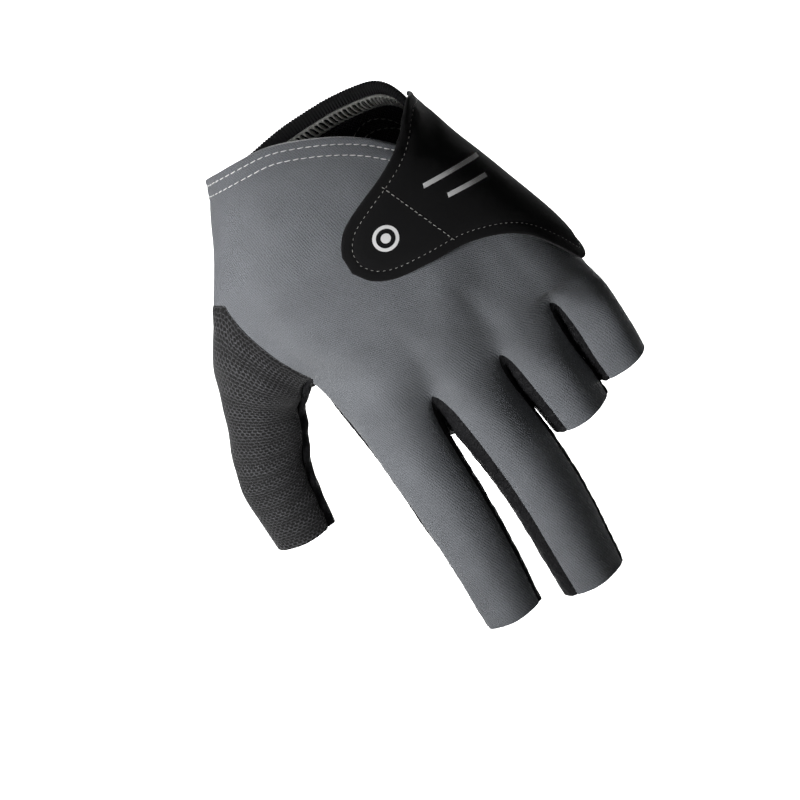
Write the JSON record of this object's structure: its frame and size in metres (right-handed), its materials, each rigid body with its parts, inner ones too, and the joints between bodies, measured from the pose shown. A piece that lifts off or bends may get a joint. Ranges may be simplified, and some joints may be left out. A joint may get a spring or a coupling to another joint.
{
  "type": "open-finger billiard glove",
  "caption": "Left-hand billiard glove with open finger ends, grey knit back, black mesh thumb and a black wrist strap.",
  "frame": {"origin": "middle of the wrist opening, where the glove sits on a wrist", "axes": "+Z out of the wrist opening, fingers towards -Z, back of the hand towards -Y, thumb towards -X"},
  "size_m": [0.1285, 0.0482, 0.1777],
  "materials": {
    "grey_stretch_knit": "fine twill stretch knit, dull",
    "black_palm_leather": "synthetic leather, low sheen",
    "black_palm_mesh": "open mesh knit, dull",
    "black_thumb_mesh": "open mesh knit, dull",
    "black_thumb_leather": "synthetic leather, low sheen",
    "side_strip_index_middle_leather": "crinkled synthetic leather",
    "side_strip_middle_ring_leather": "crinkled synthetic leather",
    "side_strip_ring_little_leather": "crinkled synthetic leather",
    "black_ribbed_elastic": "ribbed elastic, dull",
    "grey_overlock_thread": "thread, dull",
    "black_strap_suede": "smooth brushed loop cloth, dull",
    "black_hook_tape": "hook tape, dull",
    "black_pad_leather": "synthetic leather, low sheen"
  },
  "bodies": {
    "root": {"back_panel": "grey_stretch_knit", "palm_panel": "black_palm_leather", "palm_mesh": "black_palm_mesh", "thumb_mesh_panel": "black_thumb_mesh", "thumb_leather_panel": "black_thumb_leather", "side_strip_index_middle": "side_strip_index_middle_leather", "side_strip_middle_ring": "side_strip_middle_ring_leather", "side_strip_ring_little": "side_strip_ring_little_leather", "wrist_binding": "black_ribbed_elastic", "overlock_seam": "grey_overlock_thread", "strap": "black_strap_suede", "hook_patch": "black_hook_tape", "heel_pad": "black_pad_leather"}
  },
  "joints": []
}
